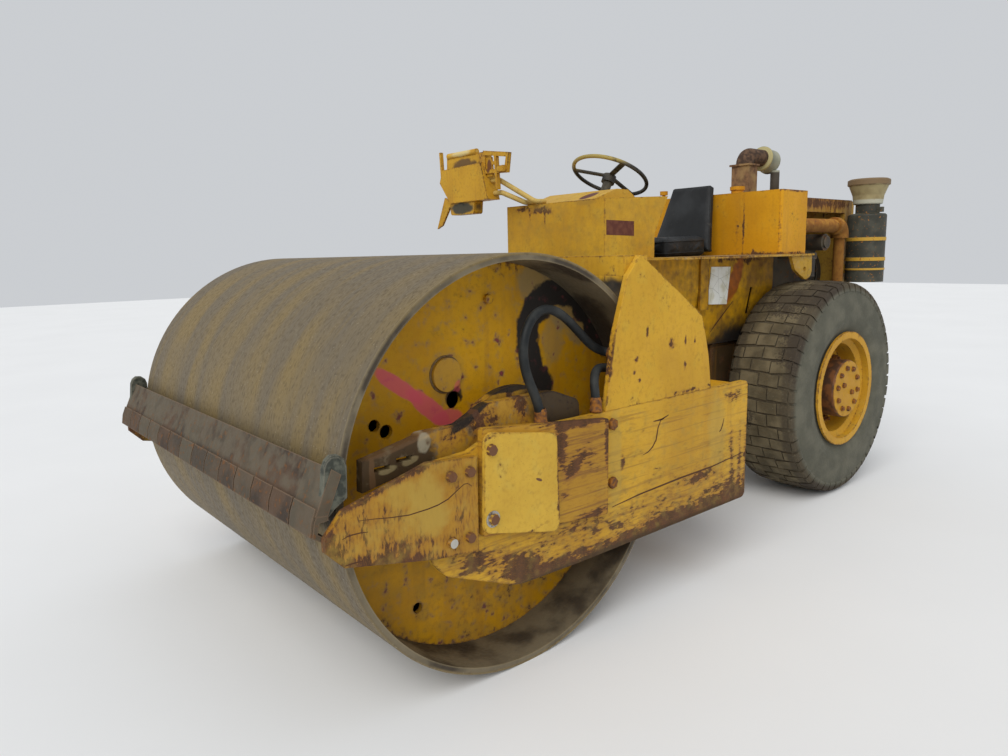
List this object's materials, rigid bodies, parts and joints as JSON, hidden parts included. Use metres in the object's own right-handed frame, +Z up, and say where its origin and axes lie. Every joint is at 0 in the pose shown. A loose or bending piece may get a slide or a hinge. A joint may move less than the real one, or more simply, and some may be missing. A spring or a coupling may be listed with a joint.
{
  "type": "single drum road roller",
  "caption": "Weathered single-drum soil roller with a smooth drum in a yoke frame, hinged to a tractor with an open deck, seat, console, tank, engine bay and block-tread tyres.",
  "frame": {"origin": "on the ground, under the middle of the machine's length and width", "axes": "+X forwards past the drum, +Y to the machine's left, +Z up"},
  "size_m": [4.72, 2.1872, 2.2378],
  "materials": {
    "yellow_paint": "weathered yellow paint with rust",
    "drum_steel": "worn rolled steel",
    "rusty_steel": "rust",
    "cast_grey": "oily casting",
    "dark_paint": "dark grey paint",
    "pale_paint": "faded pale paint",
    "black_plastic": "worn black",
    "bare_steel": "ground rod",
    "tyre_rubber": "old rubber",
    "hose_rubber": "hose",
    "seat_vinyl": "black vinyl"
  },
  "bodies": {
    "tractor": {"air_cleaner": "dark_paint", "body_panels": "yellow_paint", "console": "yellow_paint", "dash_cover": "yellow_paint", "driver_deck": "yellow_paint", "engine_block": "cast_grey", "engine_pipes": "rusty_steel", "exhaust_column": "rusty_steel", "exhaust_elbow": "rusty_steel", "foot_well": "yellow_paint", "frame_side_plates": "yellow_paint", "fuel_tank": "yellow_paint", "hood": "yellow_paint", "muffler": "pale_paint", "pod": "yellow_paint", "pod_arms": "yellow_paint", "precleaner_bowl": "pale_paint", "radiator_case": "yellow_paint", "rear_axle": "cast_grey", "rear_frame": "yellow_paint", "seat_backrest": "seat_vinyl", "seat_cushion": "seat_vinyl", "steering_column": "black_plastic"},
    "front_frame": {"side_plates": "yellow_paint", "tower_plates": "yellow_paint", "drum_housings": "yellow_paint", "housing_covers": "yellow_paint", "front_arms": "yellow_paint", "drum_carriers": "yellow_paint", "tower_cross_beam": "yellow_paint", "rear_cross_member": "yellow_paint", "scraper_beam": "rusty_steel", "scraper_blades": "rusty_steel", "drive_hoses": "hose_rubber"},
    "drum": {"drum_shell": "drum_steel", "drum_heads": "yellow_paint"},
    "wheel_left": {"tyre_left": "tyre_rubber", "wheel_rim_left": "yellow_paint"},
    "wheel_right": {"tyre_right": "tyre_rubber", "wheel_rim_right": "yellow_paint"},
    "steer_barrel_left_body": {"steer_barrel_left": "yellow_paint"},
    "steer_rod_left_body": {"steer_rod_left": "bare_steel"},
    "steer_barrel_right_body": {"steer_barrel_right": "yellow_paint"},
    "steer_rod_right_body": {"steer_rod_right": "bare_steel"},
    "steering_wheel_body": {"steering_wheel": "black_plastic"}
  },
  "joints": [
    {"name": "frame_steer", "type": "hinge", "parent": "tractor", "child": "front_frame", "pos_m": [0.01, 0, 0.6], "axis": [0, 0, 1], "range_deg": [-30, 30]},
    {"name": "drum_roll", "type": "hinge", "parent": "front_frame", "child": "drum", "pos_m": [1.49, 0, 0.762], "axis": [0, 1, 0], "continuous": true},
    {"name": "wheel_left_roll", "type": "hinge", "parent": "tractor", "child": "wheel_left", "pos_m": [-1.279, 0.645, 0.66], "axis": [0, 1, 0], "continuous": true},
    {"name": "wheel_right_roll", "type": "hinge", "parent": "tractor", "child": "wheel_right", "pos_m": [-1.279, -0.645, 0.66], "axis": [0, 1, 0], "continuous": true},
    {"name": "steering_wheel_turn", "type": "hinge", "parent": "tractor", "child": "steering_wheel_body", "pos_m": [-0.07, 0, 1.95], "axis": [-0.4384, 0, 0.8988], "range_deg": [-450, 450]},
    {"name": "barrel_left_swing", "type": "hinge", "parent": "tractor", "child": "steer_barrel_left_body", "pos_m": [-0.57, 0.2, 0.64], "axis": [0, 0, 1], "range_deg": [-6, 6]},
    {"name": "rod_left_slide", "type": "slide", "parent": "steer_barrel_left_body", "child": "steer_rod_left_body", "axis": [0.9952, 0.0979, 0], "range_m": [-0.14, 0.14]},
    {"name": "barrel_right_swing", "type": "hinge", "parent": "tractor", "child": "steer_barrel_right_body", "pos_m": [-0.57, -0.2, 0.64], "axis": [0, 0, 1], "range_deg": [-6, 6]},
    {"name": "rod_right_slide", "type": "slide", "parent": "steer_barrel_right_body", "child": "steer_rod_right_body", "axis": [0.9952, -0.0979, 0], "range_m": [-0.14, 0.14]}
  ],
  "couplings": [
    {"joint": "barrel_left_swing", "follows": "frame_steer", "ratio": 0.076},
    {"joint": "rod_left_slide", "follows": "frame_steer", "m_per_rad": -0.2502},
    {"joint": "barrel_right_swing", "follows": "frame_steer", "ratio": 0.076},
    {"joint": "rod_right_slide", "follows": "frame_steer", "m_per_rad": 0.2502}
  ]
}
